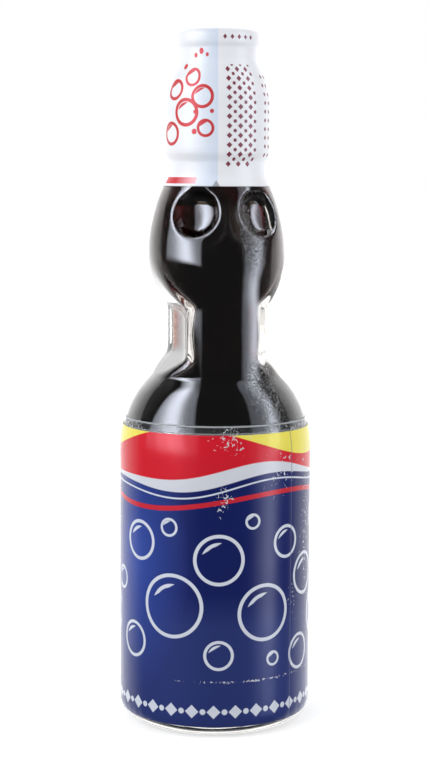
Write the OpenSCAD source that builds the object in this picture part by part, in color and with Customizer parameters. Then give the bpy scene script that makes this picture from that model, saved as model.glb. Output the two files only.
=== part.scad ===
// A marble stopper bottle: a pressed glass bottle that a glass marble closes from the inside.
// The gas of the drink holds the marble up against a rubber gasket, and a plunger pushes it down.
// The origin is the middle of the foot, and +Z runs up the bottle. The two dimples face -Y.

/* [Body] */
// Height of the glass, from the foot to the mouth
glass_h = 184; // [180:1:190]
// Diameter of the body over its label
body_d = 57; // [55:0.5:59]
// Height of the straight side, where the shoulder begins
body_h = 82; // [76:1:90]
// Radius of the shoulder's curve
shoulder_r = 31; // [29:0.5:33]
// Slope of the shoulder's upper flank, from the vertical
flank_angle = 39; // [37:1:41]
// Radius of the edge round the foot
foot_edge_r = 6.2; // [5:0.2:7]
// Width of the flat ring that the bottle stands on
foot_ring_w = 3.5; // [2.5:0.5:5]
// Height of the hollow under the foot
push_up = 3.6; // [2:0.2:5]
// Thickness of the glass wall
glass_wall = 3.3; // [3:0.1:3.6]
// Thickness of the glass floor
glass_floor = 5; // [4:0.5:6.5]

/* [Waist] */
// Diameter across the front and back columns at the waist
column_d = 38.8; // [37.6:0.2:39.6]
// Width of a column between the rims of the two side recesses
column_w = 24.4; // [23.6:0.2:25.2]
// Radius of the curve between the shoulder and a column
column_fillet_r = 4; // [3:0.5:7]
// Depth of the hollow in each recess wall, in from its rims
recess_hollow = 2.4; // [2:0.1:2.8]
// Distance from the chamber's widest ring down to where a recess's ceiling meets the rim of its wall
recess_drop = 13.3; // [12.5:0.1:14.2]
// Distance from the straight side up to where a recess's floor meets the rim of its wall
recess_rise = 27.3; // [26.5:0.1:28]
// Slope of a recess's floor, from the vertical
floor_angle = 50; // [48:1:52]
// Radius of the curve that takes a recess's ceiling up into the chamber
recess_curve_r = 26.4; // [25.5:0.1:28]

/* [Chamber] */
// Distance from the chamber's top down to its widest ring
chamber_drop = 20.7; // [19.5:0.1:22]
// Diameter of the chamber at its widest ring
chamber_d = 40.8; // [40.4:0.2:41.6]
// Height over which the columns swell into the chamber
swell_h = 13.7; // [12:0.1:15]
// Radius of the chamber's upper curve
chamber_up_r = 55; // [50:1:60]
// Distance from the chamber's top down to a dimple's middle
dimple_drop = 6.4; // [6:0.1:7.4]
// Angle of a dimple from the bottle's front
dimple_angle = 32; // [29:0.5:35]
// Slope of a dimple's own axis, up from the level
dimple_tilt = 14; // [10:1:16]
// Radius of a dimple at its rim
dimple_r = 6.9; // [6.4:0.1:7.1]
// Slope of a dimple's side wall against its axis
dimple_draft = 16; // [10:1:22]
// Depth of a dimple below the chamber's wall
dimple_depth = 4.6; // [4:0.1:5.2]
// Radius of a dimple's rounded bottom
dimple_curve_r = 13; // [11:0.5:16]

/* [Neck and mouth] */
// Height of the neck and mouth together, above the chamber
neck_h = 25.6; // [25:0.2:27]
// Diameter of the neck below the cap
neck_d = 28.4; // [27.8:0.1:28.8]
// Diameter of the mouth inside the cap
mouth_d = 25.2; // [24.4:0.1:25.6]
// How far the retaining bead stands out from the mouth
bead_out = 0.8; // [0.5:0.1:1]
// Distance from the mouth down to the bead's lower edge
bead_drop = 7; // [6:0.2:8]

/* [Marble] */
// Diameter of the marble
marble_d = 17; // [16.6:0.1:17.2]
// Gap between the marble and the bore of the neck
bore_gap = 0.4; // [0.3:0.1:0.7]

/* [Gasket] */
// Diameter of the gasket's hole
gasket_hole_d = 13.8; // [13.2:0.1:14.2]
// Thickness of the gasket
gasket_t = 2.9; // [2.4:0.1:3.4]
// Radius of the gasket's rounded seat edge
gasket_round = 1; // [0.6:0.1:1.2]

/* [Mouth cap] */
// Height of the cap
cap_h = 21.4; // [20.4:0.2:21.8]
// Diameter of the cap's skirt
cap_d = 31.2; // [30.6:0.1:31.8]
// Diameter of the cap's flat top
cap_top_d = 28.2; // [27.6:0.1:28.6]
// Thickness of the cap's top plate
cap_plate = 3.1; // [2.6:0.1:3.6]
// Diameter of the drinking hole in the cap
cap_hole_d = 14.4; // [14:0.1:14.8]
// Clearance between the cap and the glass mouth
cap_gap = 0.3; // [0.2:0.05:0.4]

/* [Opener] */
// Height of the ring round the plunger
ring_h = 14.2; // [13.4:0.2:15]
// Outer diameter of the ring's wall
ring_d = 22.8; // [22.4:0.1:23.2]
// Thickness of the ring's wall
ring_wall = 1.5; // [1.2:0.1:1.6]
// How far the ring's upper rim stands out
rim_out = 0.75; // [0.4:0.05:0.9]
// Height of the ring's upper rim
rim_h = 3.8; // [3:0.2:4.4]
// Gap between the plunger's disc and the ring
disc_gap = 0.4; // [0.3:0.05:0.6]
// Thickness of the plunger's disc
disc_t = 3; // [2.4:0.1:3.4]
// How far the disc lies below the ring's top
disc_sunk = 0.6; // [0.4:0.1:1]
// Width of the plunger's stem
stem_w = 9.6; // [9:0.1:10]
// Thickness of the stem's ribs
stem_rib = 2; // [1.6:0.1:2.4]
// Diameter of the pad at the stem's end
stem_pad_d = 7; // [6:0.2:8]

/* [Films] */
// Thickness of the label and of the neck seal
film_t = 0.25; // [0.2:0.01:0.3]
// Gap between a film and what it wraps
film_gap = 0.05; // [0.04:0.01:0.08]
// Height of the label's lower edge
label_z = 2.2; // [1.8:0.1:3]
// How far the label reaches up over the shoulder
label_over = 9.6; // [6:0.2:12]
// Height of the neck seal's lower edge above the chamber's top
seal_over = 0.95; // [0.7:0.05:1.4]
// Diameter of the hole in the seal's top
seal_hole_d = 15; // [13:0.5:17]

/* [Drink] */
// Height of the gas space between the drink and the mouth
gas_h = 16; // [14.5:0.5:19]
// Gap between the drink and the glass, and between the marble and its seat
fine_gap = 0.15; // [0.1:0.01:0.2]

/* [Hidden] */
$fn = 96;

glass_r = body_d / 2 - film_t - film_gap;
mouth_z = glass_h;
neck_z = glass_h - neck_h;
chamber_z = neck_z - chamber_drop;
dimple_z = neck_z - dimple_drop;
recess_top_z = chamber_z - recess_drop;
recess_low_z = body_h + recess_rise;
drink_z = mouth_z - gas_h;
seal_z = neck_z + seal_over;
label_top = body_h + label_over;
bead_low = mouth_z - bead_drop;
bore_r = marble_d / 2 + bore_gap;
recess_x = column_w / 2 - recess_hollow;
rim_y = sqrt(pow(column_d / 2, 2) - pow(column_w / 2, 2));
hollow_r = (rim_y * rim_y + recess_hollow * recess_hollow) / (2 * recess_hollow);
neck_slope_h = 3.8;
curve_past_chamber = 0.7;

cap_bottom = mouth_z + gasket_t + cap_plate - cap_h;
cap_top = cap_bottom + cap_h;
ring_top = cap_top + ring_h;
marble_z = mouth_z + gasket_round
    - sqrt(pow(marble_d / 2 + gasket_round + fine_gap, 2) - pow(gasket_hole_d / 2 + gasket_round, 2));
marble_top = marble_z + marble_d / 2;
stem_end = marble_top + 2 * fine_gap;
disc_top = ring_top - disc_sunk;
disc_r = ring_d / 2 - ring_wall - disc_gap;

// Points along an arc round [x, z], from angle a0 to angle a1
function arc(x, z, r, a0, a1, n = 12) =
    [for (i = [0:n]) let (a = a0 + (a1 - a0) * i / n) [x + r * cos(a), z + r * sin(a)]];

// Radius of the upper chamber at a height, inset by t
function chamber_r(z, t) = chamber_d / 2 - chamber_up_r + sqrt(pow(chamber_up_r - t, 2) - pow(z - chamber_z, 2));

// The outline of the side, the shoulder, the columns and the chamber up to height top, inset by t
function side_points(t, top) =
    let (shoulder_x = glass_r - shoulder_r,
         column_r = column_d / 2,
         flank_x = shoulder_x + shoulder_r * cos(flank_angle),
         flank_z = body_h + shoulder_r * sin(flank_angle),
         fillet_z = flank_z + (flank_x - column_r) / tan(flank_angle) + column_fillet_r * tan(flank_angle / 2),
         swell = chamber_d / 2 - column_r,
         start = chamber_z - swell_h)
    concat(arc(shoulder_x, body_h, shoulder_r - t, 0, flank_angle, 14),
        arc(column_r + column_fillet_r, fillet_z, column_fillet_r + t, 180 + flank_angle, 180, 8),
        [for (i = [0:10])
            [column_r - t + swell * (1 - cos(18 * i)) / 2, start + swell_h * i / 10]],
        arc(chamber_d / 2 - chamber_up_r, chamber_z, chamber_up_r - t, 2,
            asin((top - chamber_z) / (chamber_up_r - t)), 8));

// The front view of a side recess, grown by t: a sloping floor and a ceiling that curves up
// into the chamber
module recess_front(t) {
    rim = column_w / 2;
    out = body_d / 2;
    core = recess_x - t - 1.5;
    curve_x = chamber_d / 2 + curve_past_chamber - recess_curve_r;
    curve_z = recess_top_z + sqrt(pow(recess_curve_r, 2) - pow(rim - curve_x, 2));
    floor_x = rim - t * cos(floor_angle);
    floor_z = recess_low_z - t * sin(floor_angle);
    difference() {
        polygon([
            [core, floor_z + (floor_x - core) / tan(floor_angle)],
            [out, floor_z - (out - floor_x) / tan(floor_angle)],
            [out, curve_z],
            [core, curve_z]]);
        translate([curve_x, curve_z]) circle(r = recess_curve_r - t, $fn = 240);
    }
}

// The two recesses that pinch the waist, grown by t: each has a hollow wall
module recesses(t) {
    for (side = [0, 1])
        mirror([side, 0, 0])
            intersection() {
                translate([recess_x + hollow_r, 0, 0])
                    cylinder(r = hollow_r + t, h = neck_z, $fn = 360);
                rotate([90, 0, 0])
                    linear_extrude(body_d, center = true) recess_front(t);
            }
}

// The two dimples that catch the marble, grown by t: each is a dish with a sloping side wall
module dimples(t) {
    past = 8;
    slope = tan(dimple_draft);
    wall_r = dimple_r + t / cos(dimple_draft);
    for (side = [-1, 1])
        rotate([0, 0, side * dimple_angle])
            translate([0, -chamber_r(dimple_z, 0), dimple_z])
                rotate([90 - dimple_tilt, 0, 0])
                    intersection() {
                        translate([0, 0, -wall_r])
                            cylinder(r1 = wall_r * (1 - slope), r2 = wall_r + past * slope, h = wall_r + past);
                        translate([0, 0, dimple_curve_r - dimple_depth]) sphere(r = dimple_curve_r + t);
                    }
}

// The outside of the glass
module glass_outside() {
    finish_r = mouth_d / 2;
    bead_r = finish_r + bead_out;
    dish_edge = glass_r - foot_edge_r - foot_ring_w;
    dish_r = (pow(dish_edge, 2) + push_up * push_up) / (2 * push_up);
    difference() {
        rotate_extrude()
            polygon(concat(
                    arc(0, push_up - dish_r, dish_r, 90, 90 - asin(dish_edge / dish_r), 6),
                    arc(glass_r - foot_edge_r, foot_edge_r, foot_edge_r, -90, 0, 8),
                    side_points(0, neck_z),
                    [[neck_d / 2, neck_z + neck_slope_h],
                     [neck_d / 2, cap_bottom - 1.3],
                     [finish_r, cap_bottom - 0.6],
                     [finish_r, bead_low - 1.5],
                     [bead_r, bead_low],
                     [bead_r, bead_low + 3],
                     [finish_r, bead_low + 4.4],
                     [finish_r, mouth_z - 0.6],
                     [finish_r - 0.6, mouth_z],
                     [0, mouth_z]]));
        recesses(0);
        dimples(0);
    }
}

// The inside of the glass, inset by t from the outside, up to height top
module glass_inside(t, top) {
    throat_z = neck_z - 4.2;
    intersection() {
        difference() {
            rotate_extrude()
                polygon(concat(
                    [[0, glass_floor + push_up + t - glass_wall]],
                    arc(glass_r - foot_edge_r, glass_floor + foot_edge_r - glass_wall, foot_edge_r - t,
                        -90, 0, 8),
                    side_points(t, throat_z),
                    [[bore_r + glass_wall - t, throat_z + 8],
                     [bore_r + glass_wall - t, mouth_z + 1],
                     [0, mouth_z + 1]]));
            recesses(t);
            dimples(t);
        }
        translate([0, 0, -1]) cylinder(r = body_d, h = top + 1);
    }
}

module glass_bottle() {
    color([0.72, 0.78, 0.78, 0.5])
        difference() {
            glass_outside();
            glass_inside(glass_wall, mouth_z + 1);
        }
}

module drink() {
    color([0.16, 0.05, 0.03])
        glass_inside(glass_wall + fine_gap, drink_z);
}

// The shrink label follows the foot's edge, the side and the shoulder
module body_label() {
    inner = label_outline(film_gap);
    outer = label_outline(film_gap + film_t);
    color([0.1, 0.14, 0.42])
        rotate_extrude()
            polygon(concat(outer, [for (i = [len(inner) - 1:-1:0]) inner[i]]));
}

function label_outline(t) =
    let (foot = foot_edge_r + t,
         shoulder = shoulder_r + t)
    concat(
        arc(glass_r - foot_edge_r, foot_edge_r, foot, -asin((foot_edge_r - label_z) / foot), 0, 5),
        arc(glass_r - shoulder_r, body_h, shoulder, 0, asin((label_top - body_h) / shoulder), 5));

module gasket() {
    r = gasket_hole_d / 2;
    color([0.25, 0.25, 0.27])
        rotate_extrude()
            polygon(concat(
                [[r, mouth_z + gasket_t]],
                arc(r + gasket_round, mouth_z + gasket_round, gasket_round, 180, 270, 8),
                [[mouth_d / 2 - 0.2, mouth_z],
                 [mouth_d / 2 - 0.2, mouth_z + gasket_t]]));
}

module marble() {
    color([0.6, 0.85, 0.9])
        translate([0, 0, marble_z]) sphere(r = marble_d / 2);
}

// The cap snaps over the bead of the mouth and holds the gasket down
module mouth_cap() {
    snap_r = mouth_d / 2 + cap_gap;
    wide_r = snap_r + bead_out;
    plate_z = cap_top - cap_plate;
    color([0.93, 0.94, 0.95])
        rotate_extrude()
            polygon([
                [snap_r, cap_bottom],
                [cap_d / 2 - 0.4, cap_bottom],
                [cap_d / 2, cap_bottom + 0.5],
                [cap_d / 2, cap_top - 5.2],
                [cap_top_d / 2 + 0.3, cap_top - 1.2],
                [cap_top_d / 2, cap_top],
                [cap_hole_d / 2, cap_top],
                [cap_hole_d / 2, plate_z],
                [wide_r, plate_z],
                [wide_r, bead_low - 0.5],
                [snap_r, bead_low - 2]]);
}

// A disc for the palm, a ribbed stem and a pad that meets the marble
module plunger() {
    color([0.9, 0.92, 0.93]) {
        rotate_extrude()
            polygon([
                [0, disc_top - disc_t],
                [disc_r - 0.6, disc_top - disc_t],
                [disc_r, disc_top - disc_t + 0.6],
                [disc_r, disc_top - 0.5],
                [disc_r - 0.5, disc_top],
                [disc_r - 1.8, disc_top],
                [disc_r - 2.6, disc_top - 0.7],
                [0, disc_top - 0.7]]);
        for (turn = [0, 90])
            rotate([0, 0, turn])
                translate([-stem_w / 2, -stem_rib / 2, stem_end + 1])
                    cube([stem_w, stem_rib, disc_top - disc_t - stem_end]);
        translate([0, 0, stem_end]) cylinder(d = stem_pad_d, h = 2);
    }
}

// The ring stands on the cap and keeps the plunger in line, off the marble
module opener_ring() {
    r = ring_d / 2;
    color([0.9, 0.92, 0.93])
        rotate_extrude()
            polygon([
                [r - ring_wall, cap_top],
                [r, cap_top],
                [r, ring_top - rim_h - rim_out],
                [r + rim_out, ring_top - rim_h],
                [r + rim_out, ring_top - 0.9],
                [r + rim_out - 0.9, ring_top],
                [r - ring_wall, ring_top]]);
}

// Radius of the slope between the chamber and the neck, at a height
function neck_r(z) =
    let (wide = chamber_r(neck_z, 0))
    wide - (wide - neck_d / 2) * (z - neck_z) / neck_slope_h;

// The outline that the neck seal is shrunk over, grown by t
function seal_outline(t) =
    let (g = t * 0.8)
    [[neck_r(seal_z) + t, seal_z],
     [neck_d / 2 + t, neck_z + neck_slope_h + 0.1],
     [neck_d / 2 + t, cap_bottom - 1.6],
     [cap_d / 2 + t, cap_bottom + 0.1],
     [cap_d / 2 + t, cap_top - 5.1],
     [cap_top_d / 2 + 0.3 + t, cap_top - 1],
     [cap_top_d / 2 + 0.1 + t, cap_top + 0.1],
     [ring_d / 2 + t, cap_top + 5.6],
     [ring_d / 2 + t, ring_top - rim_h - rim_out],
     [ring_d / 2 + rim_out + t, ring_top - rim_h],
     [ring_d / 2 + rim_out + t, ring_top - 0.9 + g],
     [ring_d / 2 + rim_out - 0.9 + g, ring_top + t],
     [seal_hole_d / 2, ring_top + t]];

module neck_seal() {
    inner = seal_outline(film_gap);
    outer = seal_outline(film_gap + film_t);
    color([0.96, 0.96, 0.97])
        rotate_extrude()
            polygon(concat(outer, [for (i = [len(inner) - 1:-1:0]) inner[i]]));
}

glass_bottle();
drink();
body_label();
gasket();
marble();
mouth_cap();
plunger();
opener_ring();
neck_seal();
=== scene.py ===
# %% [markdown]
# # A marble stopper bottle, dressed
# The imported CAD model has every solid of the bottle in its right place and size. This script
# loads it as a fixed frame and gives it the looks of the real thing: clear pressed glass, dark
# drink, a printed shrink label, a white neck seal, and the plastic and rubber below the seal.
# Lengths are written in millimetres and become metres when a mesh is made.

# %% Load the frame
import math

import bpy
import numpy as np
from mathutils import Matrix, Vector


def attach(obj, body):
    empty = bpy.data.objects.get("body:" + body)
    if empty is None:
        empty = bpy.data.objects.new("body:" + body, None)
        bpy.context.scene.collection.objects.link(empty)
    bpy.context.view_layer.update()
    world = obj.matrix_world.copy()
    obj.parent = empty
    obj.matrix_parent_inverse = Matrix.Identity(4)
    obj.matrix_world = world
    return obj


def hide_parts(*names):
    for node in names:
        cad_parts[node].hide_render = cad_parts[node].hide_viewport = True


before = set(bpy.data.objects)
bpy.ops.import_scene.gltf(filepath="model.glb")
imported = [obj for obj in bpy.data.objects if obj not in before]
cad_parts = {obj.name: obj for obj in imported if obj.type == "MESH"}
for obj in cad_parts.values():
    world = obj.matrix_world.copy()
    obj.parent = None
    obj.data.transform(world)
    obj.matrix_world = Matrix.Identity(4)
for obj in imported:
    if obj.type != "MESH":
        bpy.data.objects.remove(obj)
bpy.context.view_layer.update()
MM = 0.001
bpy.ops.object.select_all(action="DESELECT")
print("nodes:", sorted(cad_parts))

# %% [markdown]
# ## The camera
# The photograph was taken from about half a metre, a little above the shoulder, with the
# bottle turned a little to the right. In a portrait picture Blender's sensor width lies along
# the height, so the focal length in pixels becomes a lens by 36 mm over 772 pixels.

# %% Place the camera
CAMERA_DISTANCE = 530.2
CAMERA_HEIGHT = 162.1
CAMERA_PITCH = math.radians(6.68)
CAMERA_ROLL = math.radians(0.273)
BOTTLE_TURN = math.radians(12.5)
CAMERA_ASIDE = 0.47
FOCAL_PIXELS = 1784.9
SENSOR, PICTURE_HEIGHT = 36, 772

ahead = Vector((math.sin(BOTTLE_TURN), math.cos(BOTTLE_TURN), 0))
to_right = Vector((math.cos(BOTTLE_TURN), -math.sin(BOTTLE_TURN), 0))
camera_data = bpy.data.cameras.new("camera")
camera = bpy.data.objects.new("camera", camera_data)
bpy.context.scene.collection.objects.link(camera)
place = -ahead * CAMERA_DISTANCE - to_right * CAMERA_ASIDE + Vector((0, 0, CAMERA_HEIGHT))
camera.matrix_world = (Matrix.Translation(place * MM)
                       @ Matrix.Rotation(-BOTTLE_TURN, 4, "Z")
                       @ Matrix.Rotation(math.pi / 2 - CAMERA_PITCH, 4, "X")
                       @ Matrix.Rotation(CAMERA_ROLL, 4, "Z"))
camera_data.sensor_width = SENSOR
camera_data.lens = FOCAL_PIXELS * SENSOR / PICTURE_HEIGHT
camera_data.clip_start = 0.01
bpy.context.scene.camera = camera
bpy.context.scene.view_settings.view_transform = "Standard"
print("lens:", round(camera_data.lens, 1), "mm")

# %% [markdown]
# ## Small helpers for materials
# Every finish is a tree of nodes. These helpers add a node with its values, join it up, and
# write arithmetic in one line, so that a pattern reads like a formula.

# %% Node helpers
def fill(tree, socket, value):
    """Joins a socket to the output of another node, or sets it to a plain value."""
    if isinstance(value, bpy.types.NodeSocket):
        tree.links.new(value, socket)
    else:
        socket.default_value = value


def new_material(name):
    """An empty material with its output node."""
    material = bpy.data.materials.new(name)
    material.use_nodes = True
    material.node_tree.nodes.clear()
    output = material.node_tree.nodes.new("ShaderNodeOutputMaterial")
    return material, material.node_tree, output


def add(tree, kind, settings=None, **inputs):
    """A node of this kind. An input is named, or numbered as in _0."""
    made = tree.nodes.new("ShaderNode" + kind)
    for key, value in (settings or {}).items():
        setattr(made, key, value)
    for key, value in inputs.items():
        fill(tree, made.inputs[int(key[1:]) if key[1:].isdigit() else key.replace("_", " ")], value)
    return made


def calc(tree, operation, *values):
    """One step of arithmetic, as a Math node."""
    step = add(tree, "Math", {"operation": operation})
    for socket, value in zip(step.inputs, values):
        fill(tree, socket, value)
    return step.outputs[0]


def product(tree, first, *others):
    """All the values multiplied. Masks multiplied leave what all of them cover."""
    for value in others:
        first = calc(tree, "MULTIPLY", first, value)
    return first


def largest(tree, first, *others):
    """The largest of the values. Of masks it leaves what any of them covers."""
    for value in others:
        first = calc(tree, "MAXIMUM", first, value)
    return first


def length(tree, across, up):
    """The distance that two sides at a right angle span."""
    return calc(tree, "SQRT", calc(tree, "MULTIPLY_ADD", across, across, product(tree, up, up)))


def ellipse(tree, u, v, middle_u, middle_v, half_u, half_v):
    """How far a place is from the middle of an ellipse, with 1 on its rim."""
    return length(tree, calc(tree, "DIVIDE", calc(tree, "SUBTRACT", u, middle_u), half_u),
                  calc(tree, "DIVIDE", calc(tree, "SUBTRACT", v, middle_v), half_v))


def ramp_up(tree, value, low, high):
    """0 below low, 1 above high, and a straight slope between. It falls where low is the higher."""
    return add(tree, "MapRange", {"clamp": True}, Value=value, From_Min=low, From_Max=high).outputs[0]


def mix_colour(tree, factor, first, second):
    """The first colour at 0 and the second at 1."""
    step = add(tree, "Mix", {"data_type": "RGBA"})
    for index, value in ((0, factor), (6, first), (7, second)):
        fill(tree, step.inputs[index], value)
    return step.outputs[2]


def dress(piece, material):
    """Gives a piece one material."""
    piece.data.materials.clear()
    piece.data.materials.append(material)


# %% [markdown]
# ## The shape of the glass
# The bottle is round, but two dimples and the two side recesses of the waist are pressed into
# it. It is drawn as one profile and spun, and then the hollows are pressed in: each point in
# their range slides towards the axis until it lies on the surface. Cutting them out would
# leave sharp rims, and clear glass shows each crooked shade of a cut mesh. Here the rims are
# rounded, as a mould rounds them.

# %% Sizes of the glass
# All are the solids' own, apart from the fillet at the foot of the columns, which is tighter
# here. The slim values thin the wall inside the waist, round one height.
BODY_R = 28.2
BODY_H = 82.0
SHOULDER_R = 31.0
FLANK = math.radians(39)
FOOT_EDGE_R = 6.2
FOOT_RING = 3.5
PUSH_UP = 3.6
WALL = 3.3
FLOOR = 5.0
COLUMN_R = 19.4
RIM_X = 12.2
COLUMN_FILLET = 1.4
RECESS_X = 9.8
RECESS_TOP, RECESS_LOW = 124.4, 109.3
RECESS_FLOOR = math.radians(50)
RECESS_CURVE = 26.4
CHAMBER_Z, CHAMBER_R, CHAMBER_CURVE = 137.7, 20.4, 55.0
SWELL = 13.7
NECK_Z, NECK_R, MOUTH_Z, MOUTH_R = 158.4, 14.2, 184.0, 12.6
NECK_RISE, INNER_DROP = 3.8, 4.2
BORE_R = 8.9
DIMPLE_Z, DIMPLE_RIM, DIMPLE_CURVE, DIMPLE_DEPTH = 152.0, 6.9, 13.0, 4.6
DIMPLE_ANGLE, DIMPLE_TILT, DIMPLE_DRAFT = math.radians(32), math.radians(14), math.radians(16)
CEILING_REACH = 0.7
SLIM, SLIM_Z, SLIM_SPAN = 1.1, 116.5, 8.0
HOLLOWS_FROM = 96.0
FRONT = -math.pi / 2

rim_y = math.sqrt(COLUMN_R ** 2 - RIM_X ** 2)
hollow_r = (rim_y ** 2 + (RIM_X - RECESS_X) ** 2) / (2 * (RIM_X - RECESS_X))
curve_x = CHAMBER_R + CEILING_REACH - RECESS_CURVE
curve_z = RECESS_TOP + math.sqrt(RECESS_CURVE ** 2 - (RIM_X - curve_x) ** 2)
dimple_mouth = CHAMBER_R - CHAMBER_CURVE + math.sqrt(CHAMBER_CURVE ** 2 - (DIMPLE_Z - CHAMBER_Z) ** 2)
print("hollow of a recess:", round(hollow_r, 1), "dimple's rim from the axis:", round(dimple_mouth, 2))


# %% The profile of the side
def arc(x, z, r, start, end, count):
    """Points along an arc in degrees, round (x, z)."""
    angles = [math.radians(start + (end - start) * i / count) for i in range(count + 1)]
    return [(x + r * math.cos(a), z + r * math.sin(a)) for a in angles]


def side_profile(inset, top):
    """The side from the straight wall up to the chamber's top, as (radius, height)."""
    shoulder_x = BODY_R - SHOULDER_R
    flank_x = shoulder_x + SHOULDER_R * math.cos(FLANK)
    flank_z = BODY_H + SHOULDER_R * math.sin(FLANK)
    fillet_z = (flank_z + (flank_x - COLUMN_R) / math.tan(FLANK)
                + COLUMN_FILLET * math.tan(FLANK / 2))
    end = math.degrees(math.asin((top - CHAMBER_Z) / (CHAMBER_CURVE - inset)))
    swell = [(COLUMN_R - inset + (CHAMBER_R - COLUMN_R) * (1 - math.cos(math.pi * share)) / 2,
              CHAMBER_Z - SWELL * (1 - share)) for share in np.linspace(0, 1, 21)]
    return (arc(shoulder_x, BODY_H, SHOULDER_R - inset, 0, math.degrees(FLANK), 20)
            + arc(COLUMN_R + COLUMN_FILLET, fillet_z, COLUMN_FILLET + inset,
                  180 + math.degrees(FLANK), 180, 10)
            + swell
            + arc(CHAMBER_R - CHAMBER_CURVE, CHAMBER_Z, CHAMBER_CURVE - inset, 0.6, end, 24))


def spread(points, gap):
    """The same line with a point at least every gap, so that the mesh can follow the hollows."""
    line = [points[0]]
    for (x0, z0), (x1, z1) in zip(points, points[1:]):
        parts = max(1, math.ceil(math.hypot(x1 - x0, z1 - z0) / gap))
        line += [(x0 + (x1 - x0) * i / parts, z0 + (z1 - z0) * i / parts) for i in range(1, parts + 1)]
    return line


# %% [markdown]
# ## Drawing and spinning a profile
# A profile is drawn as by hand: a plane is merged to one point, and that point is extruded
# from place to place. The line is then spun round the axis. The glass and the drink are spun
# in two sweeps, with close steps across the front, where the dimples and the highlights are.

# %% Draw a profile and spin it
FINE_START = FRONT + math.radians(55)
FINE_SWEEPS = [(110, 96), (250, 128)]


def draw_line(name, points, angle):
    """A new mesh that is one line of points (radius, height), standing at this angle."""
    bpy.ops.object.select_all(action="DESELECT")
    bpy.ops.mesh.primitive_plane_add(size=MM, location=(0, 0, 0))
    piece = bpy.context.object
    piece.name = piece.data.name = name
    spots = [Vector((r * math.cos(angle), r * math.sin(angle), z)) * MM for r, z in points]
    bpy.ops.object.mode_set(mode="EDIT")
    bpy.ops.mesh.select_all(action="SELECT")
    bpy.ops.mesh.merge(type="CENTER")
    bpy.ops.transform.translate(value=spots[0])
    for before, after in zip(spots, spots[1:]):
        bpy.ops.mesh.extrude_vertices_move(TRANSFORM_OT_translate={"value": after - before})
    bpy.ops.object.mode_set(mode="OBJECT")
    return piece


def spin_line(piece, sweeps):
    """Spins the line round the axis in one or more sweeps of (degrees, steps)."""
    bpy.ops.object.mode_set(mode="EDIT")
    bpy.ops.mesh.select_all(action="SELECT")
    for degrees, steps in sweeps:
        bpy.ops.mesh.spin(steps=steps, angle=-math.radians(degrees), center=(0, 0, 0), axis=(0, 0, 1))
    bpy.ops.mesh.select_all(action="SELECT")
    bpy.ops.mesh.remove_doubles(threshold=0.00001)
    bpy.ops.mesh.normals_make_consistent(inside=False)
    bpy.ops.object.mode_set(mode="OBJECT")
    bpy.ops.object.shade_smooth()


def points_of(piece):
    """The points of a mesh in millimetres, and their distance from the axis."""
    co = np.empty(len(piece.data.vertices) * 3)
    piece.data.vertices.foreach_get("co", co)
    co = co.reshape(-1, 3) / MM
    return co, np.hypot(co[:, 0], co[:, 1])


def move_points(piece, co):
    """Puts the points of a mesh at these places, in millimetres."""
    piece.data.vertices.foreach_set("co", (co * MM).ravel())
    piece.data.update()


# %% [markdown]
# ## Pressing the hollows in
# Each hollow is a field that is positive inside it: the distance into a dimple's tilted cone
# and dish, or into the space that a recess takes away. The fields meet in a soft maximum, which
# rounds the rim by the blend that it is given. A point then halves its way along its own radius
# to the place where the whole field is zero.

# %% Fields of the hollows
# A pair of blends is for the rims of the dimples and of the recesses.
OUTER_BLENDS, INNER_BLENDS = (1.6, 1.6), (3.0, 1.4)
DISH_BLEND = 1.6


def soft_max(a, b, blend):
    """The larger of the two, rounded where they are nearly equal."""
    near = np.clip((blend - np.abs(a - b)) / blend, 0, 1)
    return np.maximum(a, b) + near * near * blend / 4


def into_dimples(x, y, z, inset):
    """How deep a point lies in either dimple: a round dish with a sloping wall, tilted up."""
    depth = -1e3
    for side in (-1, 1):
        angle = FRONT + side * DIMPLE_ANGLE
        out = x * math.cos(angle) + y * math.sin(angle) - dimple_mouth
        along = out * math.cos(DIMPLE_TILT) + (z - DIMPLE_Z) * math.sin(DIMPLE_TILT)
        up = (z - DIMPLE_Z) * math.cos(DIMPLE_TILT) - out * math.sin(DIMPLE_TILT)
        across = np.hypot(y * math.cos(angle) - x * math.sin(angle), up)
        wall = (DIMPLE_RIM + along * math.tan(DIMPLE_DRAFT) - across) * math.cos(DIMPLE_DRAFT) + inset
        dish = DIMPLE_CURVE + inset - np.hypot(along - DIMPLE_CURVE + DIMPLE_DEPTH, across)
        depth = np.maximum(depth, -soft_max(-wall, -dish, DISH_BLEND))
    return depth


def into_recesses(x, y, z, inset, blend):
    """How deep a point lies in either side recess: past its wall, over its floor, under its ceiling."""
    out = np.abs(x)
    past_wall = hollow_r + inset - np.sqrt((out - RECESS_X - hollow_r) ** 2 + y ** 2)
    over_floor = ((out - RIM_X) * math.cos(RECESS_FLOOR) + (z - RECESS_LOW) * math.sin(RECESS_FLOOR)
                  + inset)
    under_ceiling = np.hypot(out - curve_x, z - curve_z) - RECESS_CURVE + inset
    under_ceiling = np.where(z > curve_z, out - curve_x - RECESS_CURVE + inset, under_ceiling)
    return -soft_max(-past_wall, soft_max(-over_floor, -under_ceiling, blend), blend)


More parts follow.
